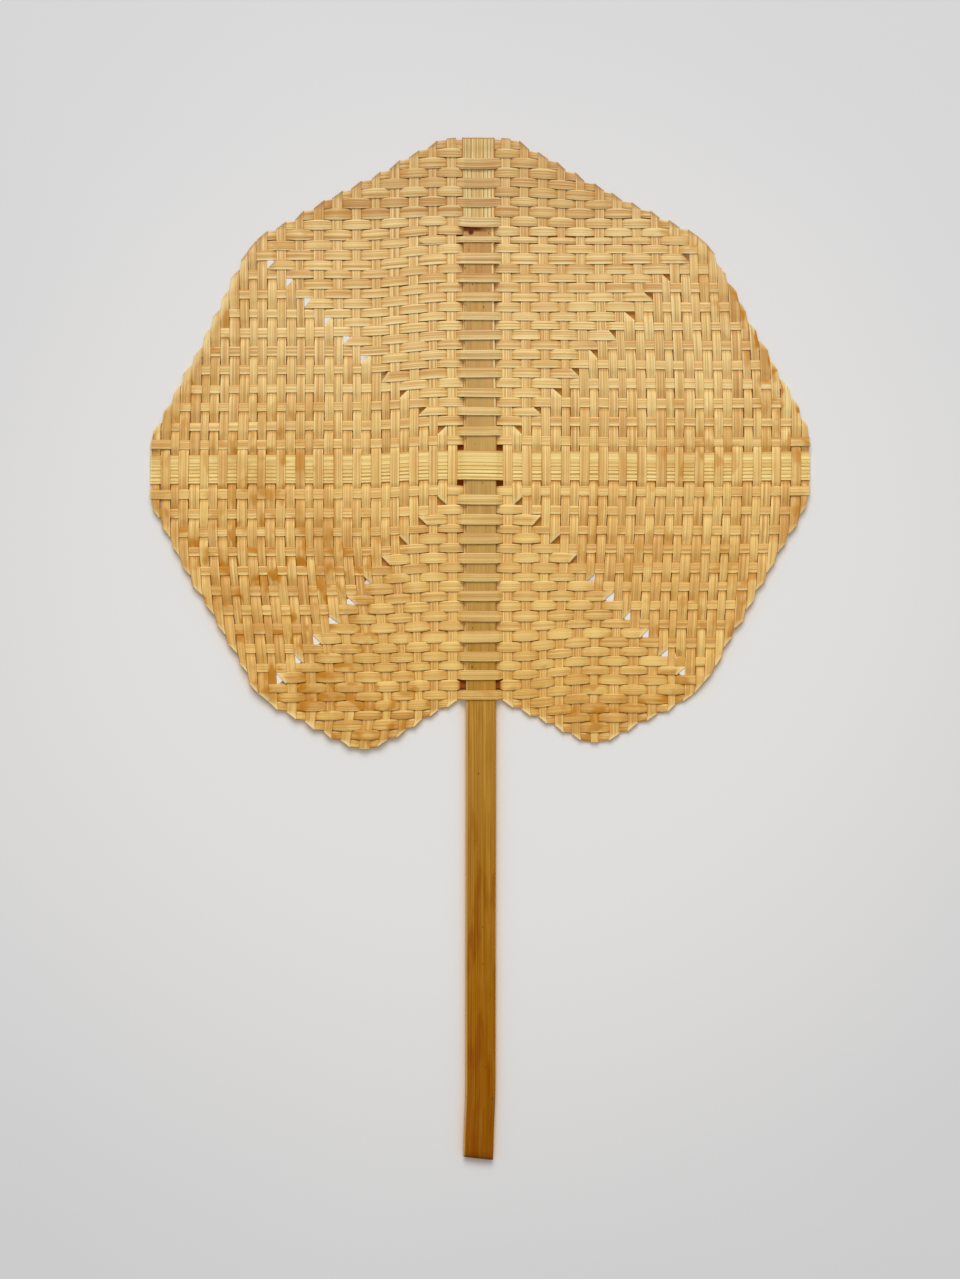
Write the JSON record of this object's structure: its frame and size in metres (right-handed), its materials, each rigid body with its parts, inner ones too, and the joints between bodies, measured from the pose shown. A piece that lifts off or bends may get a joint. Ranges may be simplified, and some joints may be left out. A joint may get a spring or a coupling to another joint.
{
  "type": "woven bamboo hand fan",
  "caption": "Flat rigid hand fan: a notched octagonal blade plaited from narrow bamboo strips round a wide spine and cross band, on a flat stick handle.",
  "frame": {"origin": "under the middle of the fan's length and width, on the surface that the fan lies on", "axes": "+Y from the handle's butt to the top of the blade, +Z from the back of the fan to its front, +X to the right seen from the front"},
  "size_m": [0.3008, 0.4652, 0.0041],
  "materials": {
    "handle": "smooth split bamboo, golden brown, darker at the butt",
    "wide_strip": "pale split bamboo with fine lengthwise ridges",
    "strip": "honey-tan split bamboo, fine lengthwise grain, brown stains near the rim"
  },
  "bodies": {
    "root": {"handle_stick": "handle", "spine_strip": "wide_strip", "cross_band": "wide_strip", "ring_strip_01": "strip", "upright_left_01": "strip", "upright_right_01": "strip", "weft_upper_01": "strip", "weft_lower_01": "strip", "ring_strip_02": "strip", "upright_left_02": "strip", "upright_right_02": "strip", "weft_upper_02": "strip", "weft_lower_02": "strip", "ring_strip_03": "strip", "upright_left_03": "strip", "upright_right_03": "strip", "weft_upper_03": "strip", "weft_lower_03": "strip", "ring_strip_04": "strip", "upright_left_04": "strip", "upright_right_04": "strip", "weft_upper_04": "strip", "weft_lower_04": "strip", "ring_strip_05": "strip", "upright_left_05": "strip", "upright_right_05": "strip", "weft_upper_05": "strip", "weft_lower_05": "strip", "ring_strip_06": "strip", "upright_left_06": "strip", "upright_right_06": "strip", "weft_upper_06": "strip", "weft_lower_06": "strip", "ring_strip_07": "strip", "upright_left_07": "strip", "upright_right_07": "strip", "weft_upper_07": "strip", "weft_lower_07": "strip", "ring_strip_08": "strip", "upright_left_08": "strip", "upright_right_08": "strip", "weft_upper_08": "strip", "weft_lower_08": "strip", "ring_strip_09": "strip", "upright_left_09": "strip", "upright_right_09": "strip", "weft_upper_09": "strip", "weft_lower_09": "strip", "ring_strip_10": "strip", "upright_left_10": "strip", "upright_right_10": "strip", "weft_upper_10": "strip", "weft_lower_10": "strip", "ring_strip_11": "strip", "upright_left_11": "strip", "upright_right_11": "strip", "weft_upper_11": "strip", "weft_lower_11": "strip"}
  },
  "joints": []
}
